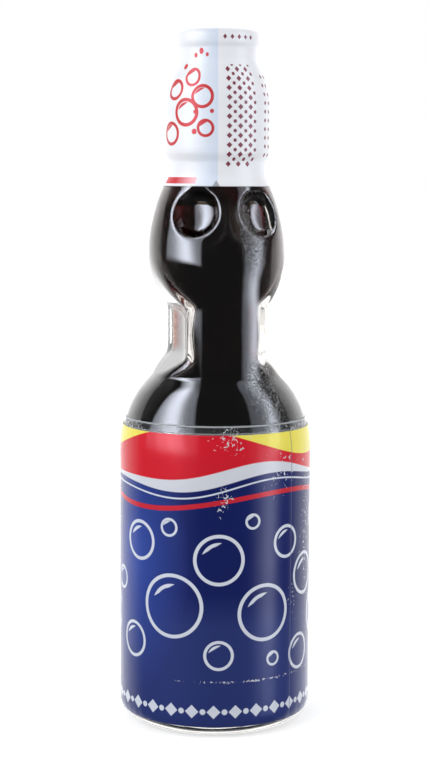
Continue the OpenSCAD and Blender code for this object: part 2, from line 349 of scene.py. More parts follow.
def press_hollows(piece, outside, inside, high, wall):
    """Slides the points up to a height on to the hollowed surface. outside and inside are the
    two profiles as arrays, and a point belongs to the one that it is nearer to."""
    co, radius = points_of(piece)
    r_out = np.interp(co[:, 2], outside[:, 1], outside[:, 0])
    r_in = np.interp(co[:, 2], inside[:, 1], inside[:, 0])
    is_in = np.abs(radius - r_in) < np.abs(radius - r_out)
    moves = (co[:, 2] > HOLLOWS_FROM) & (co[:, 2] < high) & (radius > 1)
    for group, inset, slim, r_side, blends in ((moves & ~is_in, 0.0, 0.0, r_out, OUTER_BLENDS),
                                               (moves & is_in, wall, SLIM, r_in, INNER_BLENDS)):
        if not group.any():
            continue
        ux, uy = co[group, 0] / radius[group], co[group, 1] / radius[group]
        z, side = co[group, 2], r_side[group]
        least, most = np.full(len(z), 1.0), side + 1.5
        thin = inset - slim * np.exp(-((z - SLIM_Z) / SLIM_SPAN) ** 2)
        for _ in range(30):
            middle = (least + most) / 2
            x, y = ux * middle, uy * middle
            field = soft_max(middle - side, into_dimples(x, y, z, inset), blends[0])
            field = soft_max(field, into_recesses(x, y, z, thin, blends[1]), blends[1])
            least = np.where(field < 0, middle, least)
            most = np.where(field < 0, most, middle)
        co[group, 0], co[group, 1] = ux * least, uy * least
    move_points(piece, co)
    print(piece.name, "faces:", len(piece.data.polygons), "points moved:", int(moves.sum()))


# %% [markdown]
# ## The glass bottle
# The real one is pressed and blown soda glass with a wall of a little over 3 mm. One closed
# skin goes from the middle of the foot up the outside, over the mouth and down the inside, so
# light bends twice on its way through each wall, as it does in the real glass.

# %% Model the glass
FINE_GAP = 0.55
dish_edge = BODY_R - FOOT_EDGE_R - FOOT_RING
dish_r = (dish_edge ** 2 + PUSH_UP ** 2) / (2 * PUSH_UP)
outer_side = side_profile(0, NECK_Z)
inner_side = side_profile(WALL, NECK_Z - INNER_DROP)


def split_side(side):
    """The plain lower part of a side and its finely divided upper part."""
    cut = next(i for i, p in enumerate(side) if p[1] > HOLLOWS_FROM)
    return side[:cut], spread(side[cut:], FINE_GAP)


def glass_outline():
    """The whole wall as (radius, height): up the outside, with the bead of the mouth, and down the bore."""
    plain_out, fine_out = split_side(outer_side)
    plain_in, fine_in = split_side(inner_side)
    outside = (arc(0, PUSH_UP - dish_r, dish_r, 90, 90 - math.degrees(math.asin(dish_edge / dish_r)), 8)
               + arc(BODY_R - FOOT_EDGE_R, FOOT_EDGE_R, FOOT_EDGE_R, -90, 0, 14)
               + plain_out + fine_out
               + [(NECK_R, NECK_Z + NECK_RISE), (NECK_R, 167.3), (MOUTH_R, 168), (MOUTH_R, 175.5),
                  (MOUTH_R + 0.8, 177), (MOUTH_R + 0.8, 180), (MOUTH_R, 181.4), (MOUTH_R, 183.4),
                  (MOUTH_R - 0.6, MOUTH_Z)])
    inside = ([(0, FLOOR + PUSH_UP)]
              + arc(BODY_R - FOOT_EDGE_R, FLOOR + FOOT_EDGE_R - WALL, FOOT_EDGE_R - WALL, -90, 0, 12)
              + plain_in + fine_in
              + [(BORE_R, NECK_Z + NECK_RISE), (BORE_R, MOUTH_Z - 0.5), (BORE_R + 0.5, MOUTH_Z)])
    return outside + inside[::-1]


glass = draw_line("pressed_glass", glass_outline(), FINE_START)
spin_line(glass, FINE_SWEEPS)
press_hollows(glass, np.array(outer_side), np.array(inner_side), NECK_Z - 0.01, WALL)
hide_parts("glass_bottle")
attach(glass, "bottle")

# %% [markdown]
# ## The drink
# The drink touches the glass all over. Between two clear solids that touch, light may only
# bend once, so the drink is made a twentieth of a millimetre too large and reaches into the
# glass: the two surfaces then work as one. A gap of air there would shine like a mirror. It
# has no outside, so its outer profile is put far off.

# %% Model the drink
REACH = 0.05
DRINK_Z = 168.0
FAR_OFF = 20
drink_side = side_profile(WALL - REACH, NECK_Z - INNER_DROP)
plain_side, fine_side = split_side(drink_side)
drink_line = ([(0, FLOOR + PUSH_UP - REACH)]
              + arc(BODY_R - FOOT_EDGE_R, FLOOR + FOOT_EDGE_R - WALL, FOOT_EDGE_R - WALL + REACH, -90, 0, 12)
              + plain_side + fine_side
              + [(BORE_R + REACH, NECK_Z + NECK_RISE), (BORE_R + REACH, DRINK_Z + 0.4),
                 (BORE_R - 1, DRINK_Z), (0, DRINK_Z)])
drink = draw_line("cola_drink", drink_line, FINE_START)
spin_line(drink, FINE_SWEEPS)
press_hollows(drink, np.array(drink_side) + FAR_OFF, np.array(drink_side), NECK_Z - INNER_DROP - 0.01,
              WALL - REACH)
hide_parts("drink")
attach(drink, "bottle")

# %% [markdown]
# ## Effects that several prints share
# The label and the neck seal are printed films. Their print is drawn by node groups, in
# millimetres round and up the bottle, so that one bubble or one row of marks is made once and
# placed many times. Each group only puts out masks from 0 to 1.

# %% Groups for print
def new_group(name, inputs, outputs):
    """An empty node group with plain number sockets, its input and its output node."""
    group = bpy.data.node_groups.new(name, "ShaderNodeTree")
    for title, default in inputs.items():
        kind = "NodeSocketVector" if isinstance(default, tuple) else "NodeSocketFloat"
        socket = group.interface.new_socket(title, in_out="INPUT", socket_type=kind)
        socket.default_value = default
    for title in outputs:
        group.interface.new_socket(title, in_out="OUTPUT", socket_type="NodeSocketFloat")
    return group, group.nodes.new("NodeGroupInput").outputs, group.nodes.new("NodeGroupOutput").inputs


def put(tree, group, **inputs):
    """A copy of a group in a material. Its sockets are set as in add."""
    made = tree.nodes.new("ShaderNodeGroup")
    made.node_tree = group
    for key, value in inputs.items():
        fill(tree, made.inputs[key.replace("_", " ")], value)
    return made.outputs


def inside_line(tree, distance, width, soft=0.12):
    """1 where a distance is less than half the width, with a soft edge."""
    return ramp_up(tree, calc(tree, "ABSOLUTE", distance), calc(tree, "MULTIPLY_ADD", width, 0.5, soft),
                   product(tree, width, 0.5))


around, given, result = new_group("round the bottle", {"Place": (0, 0, 0), "Radius": 28.5}, ["U", "V"])
parts = add(around, "SeparateXYZ", Vector=given["Place"])
turn = calc(around, "ARCTAN2", parts.outputs["X"], product(around, parts.outputs["Y"], -1.0))
fill(around, result["U"], product(around, turn, given["Radius"]))
fill(around, result["V"], product(around, parts.outputs["Z"], 1 / MM))

bubble, given, result = new_group(
    "bubble", {"U": 0, "V": 0, "Middle U": 0, "Middle V": 0, "Radius": 5, "Line": 0.8}, ["Ring", "Disc"])
du = calc(bubble, "SUBTRACT", given["U"], given["Middle U"])
dv = calc(bubble, "SUBTRACT", given["V"], given["Middle V"])
away = length(bubble, du, dv)
outline = inside_line(bubble, calc(bubble, "SUBTRACT", away, given["Radius"]), given["Line"])
shine_r = product(bubble, given["Radius"], 0.66)
shine = inside_line(bubble, calc(bubble, "SUBTRACT", away, shine_r), given["Line"])
upper_left = calc(bubble, "SUBTRACT", dv, calc(bubble, "MULTIPLY_ADD", du, 0.6, shine_r))
shine = product(bubble, shine, ramp_up(bubble, upper_left, -0.1, 0.1))
fill(bubble, result["Ring"], largest(bubble, outline, shine))
fill(bubble, result["Disc"], ramp_up(bubble, calc(bubble, "SUBTRACT", given["Radius"], away), -0.06, 0.06))

marks, given, result = new_group(
    "marks", {"U": 0, "V": 0, "Step U": 4, "Step V": 4, "Size": 1, "Diamond": 0}, ["Mask"])
cell_u, cell_v = (calc(marks, "WRAP", given[side], product(marks, given["Step " + side], 0.5),
                       product(marks, given["Step " + side], -0.5)) for side in "UV")
diamond_far = calc(marks, "ADD", calc(marks, "ABSOLUTE", cell_u), calc(marks, "ABSOLUTE", cell_v))
far = add(marks, "Mix", _0=given["Diamond"], _2=length(marks, cell_u, cell_v), _3=diamond_far).outputs[0]
fill(marks, result["Mask"], ramp_up(marks, calc(marks, "SUBTRACT", given["Size"], far), -0.06, 0.06))

flecks, given, result = new_group(
    "flecks", {"U": 0, "V": 0, "Middle U": 0, "Middle V": 0, "Half U": 4, "Half V": 4, "Grain": 0.9,
               "Share": 0.62}, ["Mask"])
spot = add(flecks, "CombineXYZ", X=given["U"], Y=given["V"]).outputs[0]
grain = add(flecks, "TexNoise", {"noise_dimensions": "2D"}, Vector=spot, Scale=given["Grain"], Detail=3.0,
            Roughness=0.65, Distortion=0.6).outputs[0]
fade = ellipse(flecks, given["U"], given["V"], given["Middle U"], given["Middle V"], given["Half U"],
               given["Half V"])
level = calc(flecks, "SUBTRACT", grain, calc(flecks, "MULTIPLY_ADD", fade, 0.10, given["Share"]))
fill(flecks, result["Mask"], ramp_up(flecks, level, 0.0, 0.02))

# %% [markdown]
# ## Glass and drink
# Clear glass is a Principled shader with full transmission. Pressed glass is never quite flat,
# so a slow ripple goes into its bump. Fine pits roughen it in three scuffed places. The drink is
# clear too, and its colour comes from absorption inside it: thin layers are red-brown and thick
# ones are black. The wall that the drink wets mirrors nothing, as glass does against water.

# %% Finish the glass and the drink
# A scuff is an ellipse: its middle round and up the glass, and its two halves, in millimetres.
SCUFF_R = 20.0
SCUFFS = [(7.6, 145.0, 5.0, 12.0), (10.0, 101.0, 6.5, 11.0), (-50.0, 130.0, 8.0, 30.0)]


def glass_material(name, wetted):
    material, tree, output = new_material(name)
    place = add(tree, "TexCoord").outputs["Object"]
    slow = add(tree, "TexNoise", Vector=place, Scale=90.0, Detail=1.0)
    ripple = add(tree, "Bump", Strength=0.10, Distance=0.0006, Height=slow.outputs["Fac"])
    fine = add(tree, "TexNoise", Vector=place, Scale=2000.0, Detail=1.0, Roughness=0.6)
    spot = put(tree, around, Place=place, Radius=SCUFF_R)
    scuffed = largest(tree, *(ramp_up(tree, ellipse(tree, spot["U"], spot["V"], *scuff), 1.1, 0.3)
                              for scuff in SCUFFS))
    pits = product(tree, ramp_up(tree, fine.outputs["Fac"], 0.51, 0.57), scuffed)
    pitted = add(tree, "Bump", Strength=0.5, Distance=0.00010, Height=pits, Normal=ripple.outputs[0])
    shader = add(tree, "BsdfPrincipled", Base_Color=(0.975, 0.985, 0.985, 1), IOR=1.5,
                 Transmission_Weight=1.0, Normal=pitted.outputs[0],
                 Roughness=calc(tree, "MULTIPLY_ADD", pits, 0.40, 0.015))
    if wetted:
        shader.inputs["Specular Tint"].default_value = (0, 0, 0, 1)
    fill(tree, output.inputs["Surface"], shader.outputs[0])
    return material


def drink_material():
    material, tree, output = new_material("dark cola")
    shader = add(tree, "BsdfPrincipled", Base_Color=(1, 1, 1, 1), Roughness=0.0, IOR=1.34,
                 Transmission_Weight=1.0, Specular_Tint=(0, 0, 0, 1))
    absorb = add(tree, "VolumeAbsorption", Color=(0.76, 0.42, 0.08, 1), Density=950.0)
    fill(tree, output.inputs["Surface"], shader.outputs[0])
    fill(tree, output.inputs["Volume"], absorb.outputs[0])
    return material


dress(glass, glass_material("pressed glass", False))
glass.data.materials.append(glass_material("wetted glass wall", True))
faces = glass.data.polygons
middles, normals = np.empty(len(faces) * 3), np.empty(len(faces) * 3)
faces.foreach_get("center", middles)
faces.foreach_get("normal", normals)
middles, normals = middles.reshape(-1, 3) / MM, normals.reshape(-1, 3)
radii = np.hypot(middles[:, 0], middles[:, 1])
walls = (middles * normals)[:, :2].sum(axis=1) < -0.2 * radii
floors = (middles[:, 2] < 12) & (normals[:, 2] > 0.3)
wet = ((walls | floors) & (middles[:, 2] < DRINK_Z) & (middles[:, 2] > FLOOR)
       & (radii < np.interp(middles[:, 2], *np.array(outer_side).T[::-1]) - 1))
faces.foreach_set("material_index", wet.astype(np.int32))
print("faces of the wall that the drink wets:", int(wet.sum()))
dress(drink, drink_material())

# %% [markdown]
# ## The printed label
# The label is a tube of clear film, printed on its inside and shrunk over the body and the
# shoulder with heat. It is spun like the glass, as a thin wall, and then pulled in a little:
# shrink film is drawn into fine wrinkles, and its edges overlap in a seam. A bump alone would
# not show these in the outline of a highlight.

# %% Model the label
LABEL_LOW, LABEL_TOP, LABEL_R = 2.2, 91.65, 28.5
LABEL_GAPS, LABEL_SEAM = (0.30, 0.12), 19.3


def film_outline(gap):
    """The label's surface at this gap over the glass: foot edge, side and shoulder."""
    foot, shoulder = FOOT_EDGE_R + gap, SHOULDER_R + gap
    low = -math.degrees(math.asin((FOOT_EDGE_R - LABEL_LOW) / foot))
    high = math.degrees(math.asin((LABEL_TOP - BODY_H) / shoulder))
    return spread(arc(BODY_R - FOOT_EDGE_R, FOOT_EDGE_R, foot, low, 0, 6)
                  + arc(BODY_R - SHOULDER_R, BODY_H, shoulder, 0, high, 10), 1.1)


def film_places(piece):
    """The points of a film, their distance from the axis, and their angle and height."""
    co, radius = points_of(piece)
    return co, radius, np.arctan2(co[:, 0], -co[:, 1]), co[:, 2]


def pull_in(piece, co, radius, depth):
    """Moves the points of a film towards the axis by depth, in millimetres."""
    co[:, :2] *= (1 - depth / radius)[:, None]
    move_points(piece, co)
    print(piece.name, "faces:", len(piece.data.polygons),
          "deepest wrinkle:", round(float(depth.max()), 3), "mm")


outer, inner = (film_outline(gap) for gap in LABEL_GAPS)
label = draw_line("printed_label", outer + inner[::-1] + outer[:1], FRONT)
spin_line(label, [(360, 300)])
co, radius, turned, height = film_places(label)
round_mm = turned * LABEL_R
pleats = 0.5 + 0.5 * np.sin(turned * 46 + 1.7 * np.sin(height * 0.21) + 2.0 * np.sin(turned * 5))
near_foot = np.clip((14 - height) / 10, 0, 1)
near_top = np.clip((height - 80) / 9, 0, 1)
seam = np.clip(1 - np.abs(round_mm - LABEL_SEAM) / 0.6, 0, 1)
left_side = np.exp(-((round_mm + 43) / 9) ** 2 - ((height - 72) / 10) ** 2)
folds = 0.5 + 0.5 * np.sin(height * 1.15 + 0.12 * round_mm)
pull_in(label, co, radius, 0.045 * pleats * (near_foot + near_top) + 0.05 * seam + 0.06 * left_side * folds)
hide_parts("body_label")
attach(label, "bottle")

# %% [markdown]
# ## The label's print
# The design is a plain one of this script's own, in the colours of such a drink: navy with
# three wavy ribbons under the shoulder, white bubbles, and a row of marks near the foot. The
# navy is lighter low down. On the left it is lighter partly as print and partly as a painted
# sheen of the left lamp. The film has a clear margin above and below the print. White flecks
# show where the print is rubbed off.

# %% What both prints share
def scatter(tree, group, rows, u, v, mask="Mask"):
    """One mask of a group that is put at every row. A row fills the sockets after U and V."""
    masks = []
    for row in rows:
        masks.append(put(tree, group, U=u, V=v)[mask])
        for socket, value in zip(masks[-1].node.inputs[2:], row):
            fill(tree, socket, value)
    return largest(tree, *masks)


def wrinkles(tree, place, stretch, share, scale, strength):
    """The bump of shrunk film, fine stretched wrinkles over slow ones, and the slow ones alone."""
    stretched = add(tree, "Mapping", Vector=place, Scale=stretch).outputs[0]
    fine = add(tree, "TexNoise", Vector=stretched, Scale=1.0, Detail=2.0).outputs[0]
    slow = add(tree, "TexNoise", Vector=place, Scale=scale, Detail=2.0).outputs[0]
    bump = add(tree, "Bump", Strength=strength, Distance=0.0004,
               Height=calc(tree, "MULTIPLY_ADD", fine, share, slow))
    return bump.outputs[0], slow


# %% Finish the label
# Places are in millimetres, round the bottle from its front and up from its foot. A bubble has
# its middle, radius and line, and comes twice round the bottle. A rubbed place is an ellipse:
# its middle and halves, the fineness of its grain, and a share that is high for few flecks.
BUBBLES = [(-31, 57, 5.5, 0.85), (-19, 39, 9.0, 0.95), (-5, 53, 7.0, 0.9), (9, 37, 8.0, 0.95),
           (17, 57, 4.5, 0.8), (-5, 25, 4.0, 0.75), (-34, 27, 5.0, 0.8), (27, 46, 6.0, 0.85),
           (24, 23, 5.0, 0.8), (36, 62, 3.5, 0.7), (38, 33, 7.0, 0.9), (-20, 62, 2.4, 0.6),
           (5, 64, 2.0, 0.6), (12, 23, 1.9, 0.6), (-42, 44, 3.2, 0.7)]
CELL = math.pi * LABEL_R
MARKS_STEP, MARKS_V = CELL / 14, 8.3
ONE_ROW = 200.0
RUBBED = [(-1.6, 87.5, 3.0, 2.2, 0.9, 0.50), (15.0, 78.0, 4.5, 4.0, 0.8, 0.54),
          (-3.4, 70.4, 1.6, 2.4, 0.9, 0.50), (28.0, 60.0, 3.0, 24.0, 0.9, 0.585),
          (7.0, 17.1, 15.0, 0.28, 1.2, 0.50), (21.0, 40.0, 3.0, 6.0, 1.2, 0.62),
          (-45.0, 70.0, 2.0, 14.0, 1.0, 0.60), (60.0, 30.0, 14.0, 26.0, 0.9, 0.66)]
WORN = [(middle, 90.4, half, 1.6, 1.3, 0.53)
        for middle, half in ((-42.0, 9.0), (-1.5, 2.5), (27.0, 10.0), (80.0, 14.0))]


def label_film():
    material, tree, output = new_material("printed label film")
    place = add(tree, "TexCoord").outputs["Object"]
    spot = put(tree, around, Place=place, Radius=LABEL_R)
    u, v = spot["U"], spot["V"]
    angle = calc(tree, "DIVIDE", u, LABEL_R)
    cell = calc(tree, "WRAP", u, CELL / 2, -CELL / 2)

    def wave(times, shift, height, base):
        """A height that rises and falls round the bottle."""
        turn = calc(tree, "SINE", calc(tree, "MULTIPLY_ADD", angle, float(times), shift))
        return calc(tree, "MULTIPLY_ADD", turn, height, base)

    def over(line, soft=0.1):
        """1 above a height."""
        return ramp_up(tree, calc(tree, "SUBTRACT", v, line), -soft, soft)

    def band(line, width):
        """1 on a line of this width at a height."""
        return inside_line(tree, calc(tree, "SUBTRACT", v, line), width)

    yellow_low = wave(2, 2.6, 4.6, 86.2)
    red_low = calc(tree, "ADD", wave(2, 0.9, 2.6, 77.6), wave(4, 0.3, 0.9, 0.0))
    white_low = calc(tree, "SUBTRACT", red_low, wave(2, 1.9, 1.6, 2.6))
    # glow: the navy lighter on the left, and again half a turn round, partly print and partly a painted
    # sheen of the left lamp.
    glow = ramp_up(tree, ellipse(tree, cell, v, -33.0, 52.0, 19.5, 40.0), 1.0, 0.1)
    navy = mix_colour(tree, over(38.0, 5.0), (0.022, 0.036, 0.160, 1), (0.0060, 0.013, 0.105, 1))
    colour = mix_colour(tree, glow, navy, (0.036, 0.072, 0.34, 1))
    colour = mix_colour(tree, band(wave(2, 0.4, 2.4, 69.6), 1.3), colour, (0.56, 0.02, 0.035, 1))
    colour = mix_colour(tree, over(white_low), colour, (0.66, 0.68, 0.74, 1))
    colour = mix_colour(tree, over(red_low), colour, (0.62, 0.012, 0.026, 1))
    colour = mix_colour(tree, over(yellow_low), colour, (0.84, 0.74, 0.11, 1))

    row = {"V": calc(tree, "SUBTRACT", v, MARKS_V), "Step_U": MARKS_STEP, "Step_V": ONE_ROW}
    diamonds = put(tree, marks, U=u, Size=2.0, Diamond=1.0, **row)["Mask"]
    dots = put(tree, marks, U=calc(tree, "ADD", u, MARKS_STEP / 2), Size=0.85, Diamond=0.0, **row)["Mask"]
    white = largest(tree, band(calc(tree, "SUBTRACT", white_low, 1.8), 0.35),
                    scatter(tree, bubble, BUBBLES, cell, v, "Ring"), diamonds, dots)
    colour = mix_colour(tree, white, colour, (0.66, 0.70, 0.78, 1))

    rubbed = scatter(tree, flecks, RUBBED, u, v)
    colour = mix_colour(tree, rubbed, colour, (0.60, 0.63, 0.68, 1))
    seam_line = inside_line(tree, calc(tree, "SUBTRACT", u, LABEL_SEAM), 0.3)
    colour = mix_colour(tree, product(tree, seam_line, 0.55), colour, (0.10, 0.12, 0.24, 1))

    printed = product(tree, ramp_up(tree, v, 3.50, 3.62), ramp_up(tree, v, 89.06, 88.94))
    edges = largest(tree, band(91.35, 0.35), product(tree, band(89.35, 0.2), 0.6))
    clear = largest(tree, calc(tree, "MULTIPLY_ADD", edges, 0.38, 0.02),
                    product(tree, scatter(tree, flecks, WORN, u, v), 0.6))
    colour = mix_colour(tree, printed, (0.62, 0.65, 0.68, 1), colour)

    normal, slow = wrinkles(tree, place, (60, 60, 240), 0.25, 45.0, 0.25)
    roughness = calc(tree, "MULTIPLY_ADD", slow, 0.10, calc(tree, "MULTIPLY_ADD", rubbed, 0.25, 0.20))
    shader = add(tree, "BsdfPrincipled", Base_Color=colour, Alpha=largest(tree, printed, clear),
                 Roughness=roughness, Normal=normal, Specular_IOR_Level=0.18)
    fill(tree, output.inputs["Surface"], shader.outputs[0])
    return material


dress(label, label_film())

# %% [markdown]
# ## The neck seal
# A white printed film is shrunk over the neck, the cap and the opener. It comes off first, with
# the opener inside it. Its outline is the run of the parts below it, with the corners drawn
# soft, because warm film bridges every step. Pleats gather where the neck is narrow.

# %% Model the neck seal
SEAL_LINE = [(15.82, 159.35), (14.2, 162.3), (14.2, 166.9), (15.6, 168.7), (15.6, 184.9),
             (14.5, 188.8), (14.3, 190.1), (11.4, 195.6), (11.4, 199.7), (12.15, 200.4),
             (12.15, 203.3), (11.35, 204.2), (7.5, 204.2)]
SEAL_GAPS, SEAL_R, TEAR_U = (0.28, 0.10), 15.9, -3.2


def soften(points, rounds):
    """Rounds the corners of a line, and leaves its two ends where they are."""
    line = np.array(spread(points, 0.35))
    for _ in range(rounds):
        line[1:-1] = (line[:-2] + 2 * line[1:-1] + line[2:]) / 4
    return line


def grown(line, gap):
    """The line moved out along its own normal."""
    along = np.gradient(line, axis=0)
    along /= np.hypot(*along.T)[:, None]
    return [tuple(p) for p in line + gap * np.column_stack([along[:, 1], -along[:, 0]])]


seal_line = soften(SEAL_LINE, 5)
outer, inner = (grown(seal_line, gap) for gap in SEAL_GAPS)
seal_film = draw_line("printed_neck_seal", outer + inner[::-1] + outer[:1], FRONT)
spin_line(seal_film, [(360, 240)])
co, radius, turned, height = film_places(seal_film)
pleats = 0.5 + 0.5 * np.sin(turned * 19 + 0.9 * np.sin(height * 0.5) + 1.5 * np.sin(turned * 3))
neck = np.exp(-((height - 164.5) / 3.0) ** 2) + 0.5 * np.exp(-((height - 198.0) / 2.0) ** 2)
ridge = np.exp(-((height - 170.5) / 0.5) ** 2) + 0.8 * np.exp(-((height - 167.2) / 0.4) ** 2)
seam = np.clip(1 - np.abs(turned * SEAL_R - TEAR_U) / 0.35, 0, 1)
depth = 0.05 * pleats * neck + 0.05 * (1 - np.clip(ridge, 0, 1)) * (height < 190) + 0.04 * seam
pull_in(seal_film, co, radius, depth * np.clip((radius - 8) / 4, 0, 1))
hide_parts("neck_seal")
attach(seal_film, "seal")


# %% Finish the neck seal
# The red rings and dots are given like the label's bubbles. A field of dark marks is its two
# sides, its foot and top, the steps from mark to mark, a size, and 1 for diamonds or 0 for dots.
RED_RINGS = [(-11.5, 190.5, 2.3, 0.7), (-7.8, 185.0, 3.0, 0.8), (-13.0, 180.5, 3.6, 0.9),
             (-6.8, 176.0, 2.2, 0.7), (-17.5, 187.0, 2.6, 0.8), (-19.0, 174.5, 3.0, 0.8)]
RED_DOTS = [(-9.8, 198.0, 0.9), (-7.4, 197.0, 0.6), (-12.2, 196.8, 0.7), (-4.9, 180.8, 0.6),
            (-10.2, 175.0, 0.8), (-15.8, 193.6, 0.8), (-9.9, 180.6, 0.6)]
DARK_FIELDS = [(-1.5, 8.7, 164.5, 194.2, 3.4, 2.7, 0.85, 1.0),
               (0.2, 10.4, 165.85, 194.2, 3.4, 2.7, 0.52, 0.0),
               (12.4, 17.6, 167.2, 192.2, 2.6, 2.5, 0.7, 1.0),
               (-2.0, 12.0, 200.9, 203.2, 2.8, 2.3, 0.75, 1.0)]


def neck_film():
    material, tree, output = new_material("printed seal film")
    place = add(tree, "TexCoord").outputs["Object"]
    spot = put(tree, around, Place=place, Radius=SEAL_R)
    u, v = spot["U"], spot["V"]
    # blue: painted shade, a light blue that deepens towards the film's overlapping seam and stops sharply at
    # it.
    blue = product(tree, ramp_up(tree, u, -13.0, -3.6), ramp_up(tree, u, -2.9, -3.3), 0.75)
    colour = mix_colour(tree, blue, (0.84, 0.85, 0.88, 1), (0.63, 0.73, 0.88, 1))

    red = largest(tree, scatter(tree, bubble, RED_RINGS, u, v, "Ring"),
                  scatter(tree, bubble, RED_DOTS, u, v, "Disc"))
    colour = mix_colour(tree, red, colour, (0.55, 0.035, 0.04, 1))

    def field_of_marks(low_u, high_u, low_v, high_v, step_u, step_v, size, diamond):
        """Columns of small marks in a field, from its lower left corner on."""
        mark = put(tree, marks, U=calc(tree, "SUBTRACT", u, low_u - step_u / 2),
                   V=calc(tree, "SUBTRACT", v, low_v - step_v / 2), Step_U=step_u, Step_V=step_v,
                   Size=size, Diamond=diamond)
        return product(tree, mark["Mask"],
                       calc(tree, "GREATER_THAN", u, low_u), calc(tree, "LESS_THAN", u, high_u),
                       calc(tree, "GREATER_THAN", v, low_v), calc(tree, "LESS_THAN", v, high_v))

    dark = largest(tree, *(field_of_marks(*field) for field in DARK_FIELDS))
    colour = mix_colour(tree, dark, colour, (0.20, 0.035, 0.06, 1))

    bar = product(tree, inside_line(tree, calc(tree, "SUBTRACT", v, 161.1), 1.7),
                  ramp_up(tree, u, -24.0, -23.8), ramp_up(tree, u, -9.8, -10.0))
    bar_colour = mix_colour(tree, ramp_up(tree, u, -18.0, -10.5), (0.60, 0.02, 0.03, 1),
                            (0.80, 0.42, 0.46, 1))
    colour = mix_colour(tree, bar, colour, bar_colour)
    tear = calc(tree, "MULTIPLY_ADD", calc(tree, "ABSOLUTE", calc(tree, "ADD", u, 3.6)), 1.6,
                calc(tree, "SUBTRACT", v, 161.2))
    colour = mix_colour(tree, ramp_up(tree, tear, 0.05, -0.05), colour, (0.36, 0.37, 0.40, 1))

    normal, slow = wrinkles(tree, place, (300, 300, 60), 0.3, 70.0, 0.35)
    cloud = product(tree, ramp_up(tree, slow, 0.4, 0.75), 0.10)
    colour = mix_colour(tree, cloud, colour, (0.52, 0.58, 0.68, 1))
    shader = add(tree, "BsdfPrincipled", Base_Color=colour, Normal=normal, Specular_IOR_Level=0.2,
                 Roughness=calc(tree, "MULTIPLY_ADD", slow, 0.12, 0.28))
    fill(tree, output.inputs["Surface"], shader.outputs[0])
    return material


dress(seal_film, neck_film())

# %% [markdown]
# ## The parts below the seal
# The cap, the plunger and its ring are moulded in pale polyethylene, the gasket is dark rubber,
# and the marble is clear glass with a tint of blue. Their solids have the right shape, so they
# stay, and get finishes: a faint cloud and a fine moulded grain in the plastics, dust in the
# rubber, and the small bubbles of cheap pressed glass in the marble.

# %% Finish the moulded parts
grain_group, given, result = new_group(
    "moulded grain", {"Place": (0, 0, 0), "Cloud": 60, "Grain": 2500}, ["Cloud", "Grain"])
for side, detail in (("Cloud", 3.0), ("Grain", 2.0)):
    noise = add(grain_group, "TexNoise", Vector=given["Place"], Scale=given[side], Detail=detail)
    fill(grain_group, result[side], noise.outputs[0])


def moulded(name, light, dark, roughness, strength, cloud_scale, grain_scale):
    """A moulded plastic or rubber: its colour drifts slowly and its skin has a fine grain."""
    material, tree, output = new_material(name)
    place = add(tree, "TexCoord").outputs["Object"]
    skin = put(tree, grain_group, Place=place, Cloud=cloud_scale, Grain=grain_scale)
    colour = mix_colour(tree, ramp_up(tree, skin["Cloud"], 0.35, 0.7), (*light, 1), (*dark, 1))
    bump = add(tree, "Bump", Strength=strength, Distance=0.0001, Height=skin["Grain"])
    rough = calc(tree, "MULTIPLY_ADD", skin["Grain"], 0.12, roughness)
    shader = add(tree, "BsdfPrincipled", Base_Color=colour, Roughness=rough, Normal=bump.outputs[0])
    fill(tree, output.inputs["Surface"], shader.outputs[0])
    return material


def marble_glass():
    material, tree, output = new_material("blue marble glass")
    place = add(tree, "TexCoord").outputs["Object"]
    swirl = add(tree, "TexNoise", Vector=place, Scale=160.0, Detail=2.0, Distortion=1.5).outputs[0]
    seeds = add(tree, "TexVoronoi", Vector=place, Scale=700.0).outputs["Distance"]
    colour = mix_colour(tree, ramp_up(tree, swirl, 0.4, 0.65), (0.62, 0.86, 0.92, 1), (0.48, 0.76, 0.86, 1))
    bump = add(tree, "Bump", Strength=0.2, Distance=0.0001, Height=ramp_up(tree, seeds, 0.0, 0.25))
    shader = add(tree, "BsdfPrincipled", Base_Color=colour, Roughness=0.03, IOR=1.5,
                 Transmission_Weight=1.0, Normal=bump.outputs[0])
    fill(tree, output.inputs["Surface"], shader.outputs[0])
    return material


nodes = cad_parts
opener = moulded("opener plastic", (0.72, 0.76, 0.78), (0.66, 0.71, 0.74), 0.34, 0.25, 70.0, 2200.0)
rubber = moulded("gasket rubber", (0.035, 0.035, 0.038), (0.06, 0.06, 0.06), 0.55, 0.5, 200.0, 3000.0)
cap = moulded("cap plastic", (0.74, 0.76, 0.79), (0.68, 0.71, 0.75), 0.30, 0.25, 60.0, 2500.0)
for node, material in (("gasket", rubber), ("marble", marble_glass()), ("mouth_cap", cap),
                       ("plunger", opener), ("opener_ring", opener)):
    dress(nodes[node], material)

# %% [markdown]
# ## The floor
# The photograph shows a white studio, so the floor glows white, and more so further off. Seen
# through the glass it is darker in front of the bottle. Mirrored rays pass through it, to the
# windows of light below the horizon.

# %% The floor
def how_far(tree, vector, way):
    """How far a point or a direction reaches along a way."""
    return add(tree, "VectorMath", {"operation": "DOT_PRODUCT"}, _0=vector, _1=way).outputs["Value"]


